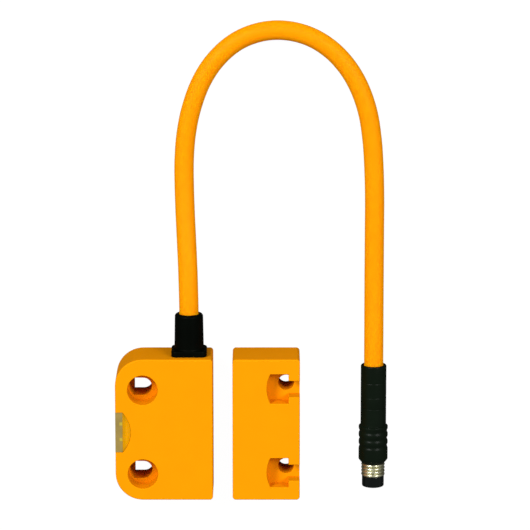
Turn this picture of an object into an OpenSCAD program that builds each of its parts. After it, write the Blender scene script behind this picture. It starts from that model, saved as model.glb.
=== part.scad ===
// Magnetic safety switch: a sensor with its cable and round plug, and the separate actuator
// that it senses. Both housings lie on their mounting faces, side by side as they work.
// Frame: the origin is the middle of the sensor's mounting face, +Z runs to the front faces,
// +X from the sensor to the actuator, and +Y towards the cable gland. Millimetres.

/* [Housings] */
// Width of the sensor
sensor_w = 24.2; // [23:0.1:30]
// Width of the actuator
actuator_w = 16.7; // [15:0.1:20]
// Gap between the sensor and the actuator
actuator_gap = 4.9; // [2:0.1:10]
// Height of both housings
body_h = 36; // [35:0.1:44]
// Depth of both housings, from the mounting face to the front
body_d = 13; // [12:0.1:18]
// Radius of the sensor's two corners beside its fixing holes
big_corner_r = 6.8; // [3:0.1:7]
// Radius of the other upright corners
small_corner_r = 0.8; // [0.3:0.1:1.2]
// Thickness of the side walls
side_wall = 1.2; // [0.8:0.1:1.4]
// Thickness of the front walls
front_wall = 1.5; // [1.2:0.1:2.5]
// Width of the inner shoulder that the circuit board and the magnet plate seat on
shoulder_w = 0.6; // [0.4:0.1:0.8]
// Thickness of the wall round a counterbore or screw pocket
column_wall = 1; // [0.8:0.1:1.3]

/* [Fixing holes] */
// Distance between the two fixing holes of a housing
hole_spacing = 21.5; // [20:0.1:22]
// Distance of the sensor's holes and window below the middle of the housing
hole_drop = 0.6; // [0:0.1:1]
// Width of the sensor's slots
slot_w = 4.4; // [3.4:0.1:5]
// Distance of a slot's middle below the middle of its counterbore
slot_drop = 0.3; // [0:0.1:0.4]
// Diameter of the counterbores for the screw heads
head_d = 7.5; // [6.5:0.1:8.2]
// Depth of the counterbores
head_depth = 5.4; // [4:0.1:7]
// Distance from the sensor's left side to its fixing holes
sensor_hole_inset = 6.8; // [6:0.1:7.5]
// Reach of a slot's open part to the left of its centre
slot_reach = 2.3; // [2.2:0.1:3]
// Thickness of the web behind the rest of the slot
slot_web = 1.2; // [0.8:0.1:3]
// Width of the counterbore's floor left of the slot
slot_ledge = 0.3; // [0.2:0.1:0.6]

/* [Actuator pockets] */
// Distance of the pockets' middle below the middle of the housing
pocket_drop = 0.25; // [0:0.05:1]
// Height of a screw pocket
pocket_h = 7.5; // [6.5:0.1:8.5]
// Depth of a screw pocket and of its side channel
pocket_depth = 4.3; // [4.2:0.1:6]
// Thickness of the wall between the pockets and the right side
pocket_wall = 2.8; // [2:0.1:3.5]
// Radius of the pockets' rounded left side, about the housing's right side
pocket_arc_r = 8.2; // [7.5:0.1:9]
// Height of the channel from a pocket to the right side
channel_h = 4.1; // [3.4:0.1:5]
// Diameter of the actuator's screw holes
actuator_hole_d = 3.9; // [3.4:0.1:4.2]
// Distance from the actuator's right side to its screw holes
actuator_hole_inset = 3.4; // [3.3:0.1:4.2]
// Distance of the screw holes above the middles of their pockets
actuator_hole_rise = 0.65; // [0:0.05:1]

/* [Status window] */
// Height of the window
window_h = 10.1; // [6:0.1:11]
// Reach of the window's rounded part past its strip
window_bulge = 2; // [1:0.1:3]
// Thickness of the window's plate
window_t = 1; // [0.6:0.1:1.1]
// Depth of the strip down the left side
window_strip_d = 3; // [2:0.1:4]
// Distance between the two light guides
guide_spacing = 4; // [3:0.1:6]
// Width of a light guide, and length of its lamp
guide_w = 1.6; // [1:0.1:2]

/* [Resin and boards] */
// Thickness of the resin layer that closes a housing, flush with its mounting face
resin_t = 2.4; // [1.5:0.1:2.5]
// Thickness of the circuit board
board_t = 1; // [0.6:0.1:1.1]
// Thickness of the magnet plate
plate_t = 1; // [0.6:0.1:1.6]
// Clearance round the board and the magnet plate
board_gap = 0.15; // [0.1:0.05:0.3]

/* [Reed switches] */
// Diameter of a reed switch's glass
reed_d = 2.2; // [1.6:0.1:2.6]
// Thickness of the glass wall
reed_wall = 0.3; // [0.2:0.05:0.4]
// Length of a glass end that seals round its wire
reed_seal = 1.2; // [0.8:0.1:1.6]
// Diameter of a reed's wire
reed_wire_d = 0.5; // [0.3:0.05:0.6]
// Reach of a reed's wire past the glass
reed_wire_out = 1.4; // [0.8:0.1:1.6]
// Width of a reed's flat blade
blade_w = 0.9; // [0.6:0.05:1.1]
// Thickness of a reed's flat blade
blade_t = 0.2; // [0.1:0.05:0.3]
// Gap between the two blades where they overlap
blade_gap = 0.15; // [0.1:0.05:0.3]
// Length over which the two blades overlap
blade_overlap = 0.8; // [0.4:0.1:1.2]
// Clearance between the glass and the circuit board
reed_lift = 0.3; // [0.1:0.05:0.6]
// Distance between the two rows of reed switches
reed_row = 3.9; // [3:0.1:4.4]
// Clearance between the reed switches and the walls, and between their ends
reed_clear = 0.5; // [0.2:0.05:0.6]

/* [Lamps and resistors] */
// Height of a lamp
lamp_t = 0.9; // [0.6:0.1:1.2]
// Width of a lamp, and of its light guide
lamp_w = 1.2; // [0.8:0.1:1.6]
// Clearance between a lamp and its light guide
lamp_gap = 0.2; // [0.1:0.05:0.4]
// Length of a chip resistor
resistor_l = 2; // [1.4:0.1:2.1]
// Width of a chip resistor
resistor_w = 1.25; // [0.8:0.05:1.6]
// Thickness of a chip resistor
resistor_t = 0.6; // [0.4:0.05:1]
// Distance between the resistors
resistor_pitch = 3.5; // [2.2:0.1:4]
// Distance from the left wall of the sensor's hollow to the resistors
resistor_inset = 0.6; // [0.2:0.1:1]

/* [Magnets] */
// Width of a magnet
magnet_w = 4.4; // [3:0.1:4.6]
// Height of a magnet
magnet_t = 6; // [3:0.1:7]
// Distance between the ends of two magnets
magnet_gap = 2.8; // [1.4:0.1:4]
// Distance between the end magnets and the housing's end walls
magnet_end_gap = 1.4; // [0.8:0.1:3]
// Height of the ribs that locate the magnets
magnet_rib_h = 0.8; // [0.5:0.1:2]
// Thickness of the ribs that locate the magnets
magnet_rib_t = 0.5; // [0.4:0.1:0.6]

/* [Cable gland] */
// Distance of the gland to the right of the sensor's middle
gland_x = 6.2; // [4.5:0.1:6.4]
// Height of the gland's axis above the mounting face
gland_z = 6.9; // [6.8:0.1:7.4]
// Width of the gland's flange
flange_w = 8.8; // [8:0.1:10]
// Depth of the gland's flange
flange_d = 7.8; // [7.5:0.1:9]
// Thickness of the gland's flange
flange_t = 1.5; // [0.8:0.1:2]
// Radius of the flange's corners
flange_r = 1.3; // [0.5:0.1:2]
// Diameter of the sleeve at the flange
sleeve_base_d = 7.3; // [6.8:0.1:7.4]
// Diameter of the sleeve at its tip
sleeve_tip_d = 7; // [6:0.1:7.2]
// Length of the sleeve
sleeve_l = 8.9; // [6:0.1:14]
// Length and depth of the rounded rim at the sleeve's tip
sleeve_rim = 0.7; // [0.2:0.1:0.8]
// Diameter of the neck that passes the housing's wall
neck_d = 6; // [5.6:0.1:6.2]
// Diameter of the bead that holds the neck inside
bead_d = 6.8; // [6.4:0.1:6.9]
// Length of the bead
bead_l = 0.8; // [0.5:0.1:1]

/* [Cable] */
// Diameter of the cable
cable_d = 4.8; // [4:0.1:5]
// Clearance round the cable in its bores, and round each moulded-in piece
fit_gap = 0.05; // [0.02:0.01:0.1]
// Diameter of the cable's insulated wires
wire_d = 0.9; // [0.6:0.05:1]
// Radius of the circle that the wires and contact pins lie on
wire_circle_r = 1.15; // [0.9:0.05:1.2]
// Reach of the cable into the sensor, past the housing's top side
cable_reach_in = 3.2; // [2.8:0.1:4]
// Reach of the sensor's wires from the cable's end to their pads
lead_reach = 5; // [4:0.1:6]
// Distance between the wires' pads and the upper reed switch
lead_gap = 0.4; // [0.2:0.1:0.8]
// Half the distance between the wires' pads
lead_spread = 1; // [0.8:0.05:1.2]

/* [Plug] */
// Diameter of the plug's sleeve
plug_sleeve_d = 6.4; // [6:0.1:7]
// Length of the plug's sleeve
plug_sleeve_l = 15.5; // [12:0.1:24]
// Size of the chamfer at the sleeve's back end
plug_rim = 0.5; // [0.2:0.1:0.6]
// Depth of the cable in the plug
cable_depth = 8; // [5:0.1:11]
// Distance from the sleeve's back end to its first fine groove
fine_groove_1 = 4.4; // [3:0.1:6]
// Distance from the sleeve's back end to its second fine groove
fine_groove_2 = 8.1; // [7:0.1:10]
// Distance from the sleeve's back end to its third fine groove
fine_groove_3 = 11; // [10.6:0.1:11.6]
// Width of the fine grooves round the sleeve
fine_groove_w = 0.3; // [0.2:0.1:0.6]
// Depth of the fine grooves round the sleeve
fine_groove_depth = 0.12; // [0.06:0.02:0.2]
// Diameter of the grip, which the plug lies on
grip_d = 7.3; // [7.2:0.1:9]
// Length of the grip
grip_l = 9.8; // [8.5:0.1:14]
// Distance between the grip's grooves
grip_pitch = 1.9; // [1.5:0.1:2.2]
// Number of grooves round the grip
grip_grooves = 3; // [2:1:3]
// Distance from the sleeve to the middle of the grip's first groove
grip_groove_start = 1.5; // [1.2:0.1:2]
// Width of a groove round the grip
grip_groove_w = 1.2; // [0.8:0.1:1.4]
// Depth of a groove round the grip
grip_groove_depth = 0.2; // [0.1:0.05:0.4]
// Length of the grip's chamfer at the ring
grip_chamfer_l = 1; // [0.6:0.1:1.6]
// Depth of the grip's chamfer at the ring
grip_chamfer_depth = 0.8; // [0.3:0.1:0.9]
// Diameter of the metal ring over its ridges
ring_d = 5.9; // [5.8:0.1:6.4]
// Distance between the ring's ridges
ring_pitch = 0.85; // [0.8:0.05:1.25]
// Number of ridges on the ring
ring_count = 4; // [3:1:6]
// Depth of the grooves between the ring's ridges
ring_groove = 0.22; // [0.1:0.02:0.25]
// Width of the floor between two ridges of the ring
ring_floor_w = 0.1; // [0.05:0.05:0.2]
// Diameter of the contact insert's nose
nose_d = 5.5; // [5.2:0.1:5.7]
// Length of the contact insert's nose past the ring
nose_l = 2.7; // [2.4:0.1:6]
// Size of the chamfer at the nose's rim
nose_chamfer = 0.3; // [0.1:0.1:0.5]
// Thickness of the nose's wall round the contact pins
nose_wall = 0.6; // [0.4:0.1:0.8]
// Depth of the hollow round the contact pins
cup_depth = 2.2; // [1.5:0.1:2.3]
// Diameter of the insert's stem inside the ring and the grip
stem_d = 4.6; // [4.2:0.1:4.8]
// Depth of the insert's stem in the grip
stem_depth = 3; // [2:0.1:5]
// Diameter of a contact pin
pin_d = 0.8; // [0.5:0.05:0.9]
// Distance of the pins' ends inside the nose's rim
pin_recess = 0.4; // [0.2:0.1:0.8]

/* [Hidden] */

// Colours of the pieces
yellow = "orange";
black = "#141814";
resin_colour = "#1c1c1e";
window_colour = "#a48b47";
board_colour = "#1f6b3a";
metal = "silver";
magnet_colour = "#55575c";
wire_colours = ["saddlebrown", "whitesmoke", "royalblue", "#202020"];

$fn = 64;
// Extra length of a cut past the face that it opens
past = 1;

// Sides of the housings
sensor_left = -sensor_w / 2;
sensor_right = sensor_w / 2;
actuator_left = sensor_right + actuator_gap;
actuator_right = actuator_left + actuator_w;

// Middles of the sensor's fixing holes and of the actuator's pockets
hole_ys = [-hole_drop + hole_spacing / 2, -hole_drop - hole_spacing / 2];
pocket_ys = [-pocket_drop + hole_spacing / 2, -pocket_drop - hole_spacing / 2];
sensor_hole_x = sensor_left + sensor_hole_inset;
actuator_hole_x = actuator_right - actuator_hole_inset;

// Levels inside the housings, from the mounting face
board_top = resin_t + board_t;
plate_top = resin_t + plate_t;
ceiling = body_d - front_wall;

// Insides of the side walls, at the level of the resin and past the shoulder
inner_wall = side_wall + shoulder_w;
inside_top = body_h / 2 - side_wall;
room_top = body_h / 2 - inner_wall;

// Left side of the sensor's long bay, and right side of the actuator's
sensor_bay_x = sensor_hole_x + head_d / 2 + column_wall;
actuator_bay_x = actuator_right - pocket_arc_r - column_wall;

// Status window
window_y = -hole_drop;
strip_right = sensor_left + inner_wall;

// End of the cable inside the sensor, and of its wires
cable_start_y = body_h / 2 - cable_reach_in;
lead_land_y = cable_start_y - lead_reach;

// Reed switches: each lies along Y, in two rows beside the right wall. Two of them fill the
// height between the wires' pads and the lower end wall.
reed_span = (lead_land_y - lead_gap + room_top - 2 * reed_clear) / 2;
reed_l = reed_span - 2 * reed_wire_out - reed_wire_d;
reed_z = board_top + reed_lift + reed_d / 2;
reed_outer_x = sensor_right - inner_wall - reed_d / 2 - reed_clear;
reed_inner_x = reed_outer_x - reed_row;
reed_lower_y = -room_top + reed_clear + reed_span / 2;
reed_upper_y = reed_lower_y + reed_span + reed_clear;
reed_inner_y = (reed_lower_y + reed_upper_y) / 2;

// Resistors: a column beside the inner reed switch
resistor_x = sensor_bay_x + shoulder_w + resistor_w / 2 + resistor_inset;

// Left side of the magnets, their length and the distance between their middles
magnet_bay = actuator_bay_x - shoulder_w - actuator_left - inner_wall;
magnet_left = actuator_left + inner_wall + (magnet_bay - magnet_w) / 2;
magnet_l = (2 * (room_top - magnet_end_gap) - 2 * magnet_gap) / 3;
magnet_pitch = magnet_l + magnet_gap;

// Gland and cable entry
neck_l = inner_wall;
bead_y = body_h / 2 - neck_l - bead_l;

// Route of the cable's middle, from inside the gland round its loop to the plug
cable_route = [
  [6.2, cable_start_y, 6.9], [6.2, 21.5, 6.9], [6.2, 28.5, 6.9], [6.1, 34, 6.6],
  [5.9, 40.5, 5.8], [5.6, 47, 4.7], [5.3, 53.5, 3.6], [5.1, 60, 2.8],
  [5.1, 66, 2.4], [5.6, 72.5, 2.4], [6.9, 79, 2.4], [9.4, 85.8, 2.4],
  [13, 91.3, 2.4], [18, 95.7, 2.4], [23.9, 98.1, 2.4], [30, 98.5, 2.4],
  [36, 97, 2.4], [41.2, 93.8, 2.4], [45.3, 89.4, 2.4], [48.3, 84.2, 2.4],
  [50.4, 78, 2.4], [51.5, 71, 2.4], [52, 63.6, 2.4], [52.2, 56, 2.4],
  [52.2, 48.5, 2.4], [52.2, 41, 2.4], [52.2, 34, 2.5], [52.2, 27.5, 2.9],
  [52.2, 21, 3.4], [52.2, 14.5, 3.65], [52.2, 6.5, 3.65]
];
cable_start = cable_route[0];
cable_end = cable_route[len(cable_route) - 1];

// Plug: it lies along -Y on its grip, and its lengths run from the sleeve's back end
plug_y = cable_end[1] + cable_depth;
plug_z = grip_d / 2;
grip_end = plug_sleeve_l + grip_l;
ring_l = ring_pitch * ring_count;
ring_end = grip_end + ring_l;
nose_end = ring_end + nose_l;
stem_start = grip_end - stem_depth;
groove_places = [fine_groove_1, fine_groove_2, fine_groove_3];
wire_angles = [135, 45, 225, 315];

// Radius of the arc that rises by rise over a chord of twice half
function arc_r(half, rise) = (half * half + rise * rise) / (2 * rise);

function unit(v) = v / norm(v);

// Direction of a route at its point i
function along(route, i) = unit(route[min(i + 1, len(route) - 1)] - route[max(i - 1, 0)]);

// Points of a ring of n sides round a point, square to the direction d
function ring_points(p, d, r, n) =
  let (side = unit(cross([0, 0, 1], d)), lift = cross(d, side))
  [for (k = [0:n - 1]) p + r * (cos(360 * (k + 0.5) / n) * side + sin(360 * (k + 0.5) / n) * lift)];

// Point at t, from 0 to 1, on the smooth curve from a to d that leaves towards b and arrives from c
function curve_point(a, b, c, d, t) =
  pow(1 - t, 3) * a + 3 * t * pow(1 - t, 2) * b + 3 * t * t * (1 - t) * c + pow(t, 3) * d;

// Tube of radius r and n sides along a route
module sweep(route, r, n) {
  last = len(route) - 1;
  points = [for (i = [0:last]) each ring_points(route[i], along(route, i), r, n)];
  sides = [
    for (i = [0:last - 1], k = [0:n - 1])
      [i * n + k, i * n + (k + 1) % n, (i + 1) * n + (k + 1) % n, (i + 1) * n + k]
  ];
  ends = [[for (k = [n - 1:-1:0]) k], [for (k = [0:n - 1]) last * n + k]];
  polyhedron(points = points, faces = concat(sides, ends));
}

// Rectangle between two corners
module rect(low, high) {
  translate(low)
    square(high - low);
}

// Outline of a housing between two sides, with round corners
module housing_plan(left, right, left_r, right_r) {
  top = body_h / 2;
  rect([left + left_r, -top], [right - right_r, top]);
  rect([left, -top + left_r], [left + left_r + past, top - left_r]);
  rect([right - right_r - past, -top + right_r], [right, top - right_r]);
  for (s = [-1, 1]) {
    translate([left + left_r, s * (top - left_r)])
      circle(left_r);
    translate([right - right_r, s * (top - right_r)])
      circle(right_r);
  }
}

// Outline of the sensor's hollow, drawn in by an inset: a long bay and one between the holes
module sensor_room(inset) {
  between = hole_spacing / 2 - head_d / 2 - column_wall - inset;
  left = sensor_left + side_wall + inset;
  right = sensor_right - side_wall - inset;
  bay_left = sensor_bay_x + inset;
  rect([bay_left, -inside_top + inset], [right, inside_top - inset]);
  rect([left, window_y - between], [bay_left + past, window_y + between]);
}

// Outline of the actuator's hollow, drawn in by an inset
module actuator_room(inset) {
  between = hole_spacing / 2 - pocket_h / 2 - column_wall - inset;
  left = actuator_left + side_wall + inset;
  right = actuator_right - side_wall - inset;
  bay_right = actuator_bay_x - inset;
  rect([left, -inside_top + inset], [bay_right, inside_top - inset]);
  rect([bay_right - past, -pocket_drop - between], [right, -pocket_drop + between]);
}

// Outline of the status window: a strip along the edge and a part with a rounded side
module window_plan() {
  half = window_h / 2;
  r = arc_r(half, window_bulge);
  rect([sensor_left, window_y - half], [strip_right, window_y + half]);
  intersection() {
    translate([strip_right + window_bulge - r, window_y])
      circle(r, $fn = 128);
    rect([strip_right - past / 2, window_y - half], [strip_right + window_bulge + past, window_y + half]);
  }
}

// Outline of a slot about its counterbore's middle: round at its right end, square at the left
module slot_plan(reach) {
  translate([0, -slot_drop]) {
    circle(d = slot_w);
    rect([-reach, -slot_w / 2], [0, slot_w / 2]);
  }
}

// Counterbore and slot, cut down from the front about a hole's middle
module sensor_hole() {
  translate([0, 0, body_d - head_depth])
    cylinder(d = head_d, h = head_depth + past);
  translate([0, 0, -past])
    linear_extrude(body_d)
      slot_plan(slot_reach);
  translate([0, 0, slot_web])
    linear_extrude(body_d - slot_web - head_depth / 2)
      intersection() {
        slot_plan(head_d / 2);
        circle(d = head_d - 2 * slot_ledge);
      }
}

module sensor_housing() {
  color(yellow)
    difference() {
      linear_extrude(body_d)
        housing_plan(sensor_left, sensor_right, big_corner_r, small_corner_r);
      translate([0, 0, -past])
        linear_extrude(board_top + past)
          sensor_room(0);
      linear_extrude(ceiling)
        sensor_room(shoulder_w);
      for (y = hole_ys)
        translate([sensor_hole_x, y, 0])
          sensor_hole();
      translate([0, 0, body_d - window_t])
        linear_extrude(window_t + past)
          window_plan();
      translate([sensor_left - past, window_y - window_h / 2, body_d - window_strip_d])
        cube([inner_wall + past, window_h, window_strip_d + past]);
      translate([gland_x, body_h / 2 + past, gland_z])
        rotate([90, 0, 0])
          cylinder(d = neck_d + 2 * fit_gap, h = neck_l + 2 * past);
    }
}

module sensor_resin() {
  color(resin_colour)
    linear_extrude(resin_t)
      sensor_room(0);
}

module circuit_board() {
  color(board_colour)
    translate([0, 0, resin_t])
      linear_extrude(board_t)
        sensor_room(board_gap);
}

// Light guide down from the window's strip to its lamp
module light_guide(y) {
  low = board_top + lamp_t + lamp_gap;
  strip_low = body_d - window_strip_d;
  translate([strip_right + fit_gap, y - guide_w / 2, low])
    cube([lamp_w, guide_w, ceiling - fit_gap - low]);
  translate([strip_right - side_wall, y - guide_w / 2, strip_low])
    cube([side_wall + lamp_w, guide_w, ceiling - fit_gap - strip_low]);
}

module status_window() {
  color(window_colour) {
    translate([0, 0, body_d - window_t])
      linear_extrude(window_t)
        window_plan();
    translate([sensor_left, window_y - window_h / 2, body_d - window_strip_d])
      cube([inner_wall, window_h, window_strip_d]);
    for (s = [-1, 1])
      light_guide(window_y + s * guide_spacing / 2);
  }
}

// Lamp on the board under a light guide, s = 1 for the upper and -1 for the lower
module lamp(s) {
  color("gold")
    translate([strip_right + fit_gap, window_y + s * guide_spacing / 2 - guide_w / 2, board_top])
      cube([lamp_w, guide_w, lamp_t]);
}

// Sealed glass of a reed switch about its middle, along Y, with a hole for a wire at each end
module reed_glass(x, y) {
  r = reed_d / 2;
  half = reed_l / 2;
  chamfer = r / 2;
  color("lightcyan")
    translate([x, y, reed_z])
      rotate([90, 0, 0])
        difference() {
          rotate_extrude()
            polygon([
              [0, -half], [r - chamfer, -half], [r, -half + chamfer],
              [r, half - chamfer], [r - chamfer, half], [0, half]
            ]);
          translate([0, 0, -half + reed_seal])
            cylinder(d = reed_d - 2 * reed_wall, h = reed_l - 2 * reed_seal);
          translate([0, 0, -half - past])
            cylinder(d = reed_wire_d + 2 * fit_gap, h = reed_l + 2 * past);
        }
}

// One of a reed switch's two contacts, s = 1 for the one that enters at +Y: a flat blade inside
// the glass, a round wire through the seal and a leg down to the circuit board
module reed_blade(x, y, s) {
  half = reed_l / 2;
  blade_start = -blade_overlap / 2;
  wire_end = half + reed_wire_out;
  level = s * (blade_t + blade_gap) / 2;
  color(metal)
    translate([x, y, reed_z])
      mirror([0, s < 0 ? 1 : 0, 0]) {
        translate([-blade_w / 2, blade_start, level - blade_t / 2])
          cube([blade_w, half - reed_seal - fit_gap - blade_start, blade_t]);
        translate([0, wire_end, 0])
          rotate([90, 0, 0])
            cylinder(d = reed_wire_d, h = wire_end - half + reed_seal + reed_seal / 2);
        translate([0, wire_end, board_top - reed_z])
          cylinder(d = reed_wire_d, h = reed_z - board_top);
        translate([0, wire_end, 0])
          sphere(d = reed_wire_d);
      }
}

// Chip resistor on the board, counted from the middle one
module resistor(i) {
  cap = resistor_l / 5;
  translate([resistor_x, reed_lower_y + i * resistor_pitch, board_top]) {
    color("black")
      translate([-resistor_w / 2, -resistor_l / 2, 0])
        cube([resistor_w, resistor_l, resistor_t - cap / 8]);
    color(metal)
      for (s = [-1, 1])
        translate([-resistor_w / 2, s * (resistor_l - cap) / 2 - cap / 2, 0])
          cube([resistor_w, cap, resistor_t]);
  }
}

// Place of wire i across the cable: [along X, along Z]
function wire_place(i) = wire_circle_r * [cos(wire_angles[i]), sin(wire_angles[i])];

// Insulated wire i from the cable's end down to the board, straight at both ends. The upper two
// wires land outside the lower two.
module lead(i) {
  place = wire_place(i);
  side = place[0] > 0 ? 1 : -1;
  row = place[1] > 0 ? 3 : 1;
  start = [cable_start[0] + place[0], cable_start[1], cable_start[2] + place[1]];
  land = [cable_start[0] + side * row * lead_spread, lead_land_y, board_top + wire_d / 2];
  straight = [0, -wire_d / 2, 0];
  bend_from = start + straight;
  bend_to = land - straight;
  pull = [0, -lead_reach / 2, 0];
  color(wire_colours[i])
    sweep(
      [
        start,
        for (step = [0:8])
          curve_point(bend_from, bend_from + pull, bend_to - pull, bend_to, step / 8),
        land
      ],
      wire_d / 2, 8
    );
}

module cable_gland() {
  base_r = sleeve_base_d / 2;
  tip_r = sleeve_tip_d / 2;
  end = flange_t + sleeve_l;
  color(black)
    translate([gland_x, body_h / 2, gland_z])
      rotate([-90, 0, 0])
        difference() {
          union() {
            linear_extrude(flange_t)
              for (s = [-1, 1]) {
                square([flange_w - 2 * flange_r, flange_d], center = true);
                square([flange_w, flange_d - 2 * flange_r], center = true);
                for (q = [-1, 1])
                  translate([s * (flange_w / 2 - flange_r), q * (flange_d / 2 - flange_r)])
                    circle(flange_r);
              }
            rotate_extrude()
              polygon([
                [0, -neck_l - bead_l], [bead_d / 2, -neck_l - bead_l], [bead_d / 2, -neck_l],
                [neck_d / 2, -neck_l], [neck_d / 2, 0], [base_r, 0],
                [base_r, flange_t],
                for (a = [0:30:90]) [tip_r - sleeve_rim * (1 - cos(a)), end - sleeve_rim * (1 - sin(a))],
                [0, end]
              ]);
          }
          translate([0, 0, -neck_l - bead_l - past])
            cylinder(d = cable_d + 2 * fit_gap, h = end + neck_l + bead_l + 2 * past);
        }
}

module cable() {
  color(yellow)
    sweep(cable_route, cable_d / 2, 12);
}

// Puts a piece that is drawn along +Z from the sleeve's back end in the plug's place
module on_plug() {
  translate([cable_end[0], plug_y, plug_z])
    rotate([90, 0, 0])
      children();
}

// Points of one shallow round groove in a profile of radius r about the height z
function groove_points(r, z, width, depth) = [
  for (a = [-90:45:90]) [r - depth * cos(a), z + width / 2 * sin(a)]
];

module plug_body() {
  sleeve_r = plug_sleeve_d / 2;
  grip_r = grip_d / 2;
  step = grip_r - sleeve_r;
  first_groove = plug_sleeve_l + grip_groove_start;
  color(black)
    on_plug()
      difference() {
        rotate_extrude()
          polygon([
            [0, 0], [sleeve_r - plug_rim, 0], [sleeve_r, plug_rim],
            for (z = groove_places)
              each groove_points(sleeve_r, z, fine_groove_w, fine_groove_depth),
            [sleeve_r, plug_sleeve_l], [grip_r, plug_sleeve_l + step / 2],
            for (i = [0:grip_grooves - 1])
              each groove_points(grip_r, first_groove + i * grip_pitch, grip_groove_w, grip_groove_depth),
            [grip_r, grip_end - grip_chamfer_l], [grip_r - grip_chamfer_depth, grip_end], [0, grip_end]
          ]);
        translate([0, 0, -past])
          cylinder(d = cable_d + 2 * fit_gap, h = cable_depth + past);
        for (i = [0:3])
          translate([wire_place(i)[0], wire_place(i)[1], cable_depth - past])
            cylinder(d = wire_d + 2 * fit_gap, h = stem_start - cable_depth + 2 * past, $fn = 24);
        translate([0, 0, stem_start])
          cylinder(d = stem_d + 2 * fit_gap, h = stem_depth + past);
      }
}

module plug_ring() {
  crest = ring_d / 2;
  half = (ring_pitch - ring_floor_w) / 2;
  color(metal)
    on_plug()
      difference() {
        rotate_extrude()
          polygon([
            [0, grip_end],
            for (i = [0:ring_count - 1], a = [0:30:180])
              [crest - ring_groove * (1 - sin(a)), grip_end + ring_pitch * (i + 1 / 2) - half * cos(a)],
            [0, ring_end]
          ]);
        translate([0, 0, grip_end - past])
          cylinder(d = stem_d + 2 * fit_gap, h = ring_l + 2 * past);
      }
}

module plug_insert() {
  nose_r = nose_d / 2;
  color(black)
    on_plug()
      difference() {
        rotate_extrude()
          polygon([
            [0, stem_start], [stem_d / 2, stem_start], [stem_d / 2, ring_end], [nose_r, ring_end],
            [nose_r, nose_end - nose_chamfer], [nose_r - nose_chamfer, nose_end], [0, nose_end]
          ]);
        translate([0, 0, nose_end - cup_depth])
          cylinder(d = nose_d - 2 * nose_wall, h = cup_depth + past);
        for (i = [0:3])
          translate([wire_place(i)[0], wire_place(i)[1], stem_start - past])
            cylinder(d = pin_d + 2 * fit_gap, h = nose_end - stem_start, $fn = 24);
      }
}

module contact_pin(i) {
  tip = nose_end - pin_recess;
  color("gold")
    on_plug()
      translate([wire_place(i)[0], wire_place(i)[1], stem_start]) {
        cylinder(d = pin_d, h = tip - pin_d / 2 - stem_start, $fn = 24);
        translate([0, 0, tip - pin_d / 2 - stem_start])
          sphere(d = pin_d, $fn = 24);
      }
}

// Insulated wire i inside the plug, from the cable's end to its contact pin
module core(i) {
  color(wire_colours[i])
    on_plug()
      translate([wire_place(i)[0], wire_place(i)[1], cable_depth])
        cylinder(d = wire_d, h = stem_start - cable_depth, $fn = 24);
}

// Screw pocket, its side channel and screw hole, cut about a hole's middle height
module actuator_pocket() {
  pocket_right = actuator_right - pocket_wall;
  floor_z = body_d - pocket_depth;
  translate([0, 0, floor_z])
    linear_extrude(pocket_depth + past)
      intersection() {
        translate([actuator_right, 0])
          circle(pocket_arc_r, $fn = 128);
        rect([actuator_right - pocket_arc_r - past, -pocket_h / 2], [pocket_right, pocket_h / 2]);
      }
  translate([pocket_right - past, -channel_h / 2, floor_z])
    cube([pocket_wall + 2 * past, channel_h, pocket_depth + past]);
  translate([actuator_hole_x, actuator_hole_rise, -past])
    cylinder(d = actuator_hole_d, h = floor_z + 2 * past);
}

module actuator_housing() {
  color(yellow)
    difference() {
      linear_extrude(body_d)
        housing_plan(actuator_left, actuator_right, small_corner_r, small_corner_r);
      translate([0, 0, -past])
        linear_extrude(plate_top + past)
          actuator_room(0);
      linear_extrude(ceiling)
        actuator_room(shoulder_w);
      for (y = pocket_ys)
        translate([0, y, 0])
          actuator_pocket();
    }
}

module actuator_resin() {
  color(resin_colour)
    linear_extrude(resin_t)
      actuator_room(0);
}

// Middle height of magnet i, from 1 at the top to -1 at the bottom
function magnet_y(i) = i * magnet_pitch;

module magnet_plate() {
  color("dimgray") {
    translate([0, 0, resin_t])
      linear_extrude(plate_t)
        actuator_room(board_gap);
    for (i = [-1:1], s = [-1, 1])
      translate([
        magnet_left, magnet_y(i) + s * (magnet_l / 2 + fit_gap + magnet_rib_t / 2) - magnet_rib_t / 2,
        plate_top - plate_t / 2
      ])
        cube([magnet_w, magnet_rib_t, magnet_rib_h + plate_t / 2]);
  }
}

module magnet(i) {
  color(magnet_colour)
    translate([magnet_left, magnet_y(i) - magnet_l / 2, plate_top])
      cube([magnet_w, magnet_l, magnet_t]);
}

sensor_housing();
sensor_resin();
status_window();
circuit_board();
lamp(1);  // lamp_upper
lamp(-1);  // lamp_lower
reed_glass(reed_outer_x, reed_upper_y);  // reed_glass_upper
reed_glass(reed_outer_x, reed_lower_y);  // reed_glass_lower
reed_glass(reed_inner_x, reed_inner_y);  // reed_glass_inner
reed_blade(reed_outer_x, reed_upper_y, 1);  // reed_blade_upper_a
reed_blade(reed_outer_x, reed_upper_y, -1);  // reed_blade_upper_b
reed_blade(reed_outer_x, reed_lower_y, 1);  // reed_blade_lower_a
reed_blade(reed_outer_x, reed_lower_y, -1);  // reed_blade_lower_b
reed_blade(reed_inner_x, reed_inner_y, 1);  // reed_blade_inner_a
reed_blade(reed_inner_x, reed_inner_y, -1);  // reed_blade_inner_b
resistor(1);  // resistor_1
resistor(0);  // resistor_2
resistor(-1);  // resistor_3
lead(0);  // lead_brown
lead(1);  // lead_white
lead(2);  // lead_blue
lead(3);  // lead_black
cable_gland();
cable();
plug_body();
plug_ring();
plug_insert();
contact_pin(0);  // contact_pin_1
contact_pin(1);  // contact_pin_2
contact_pin(2);  // contact_pin_3
contact_pin(3);  // contact_pin_4
core(0);  // core_brown
core(1);  // core_white
core(2);  // core_blue
core(3);  // core_black
actuator_housing();
actuator_resin();
magnet_plate();
magnet(1);  // magnet_upper
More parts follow.
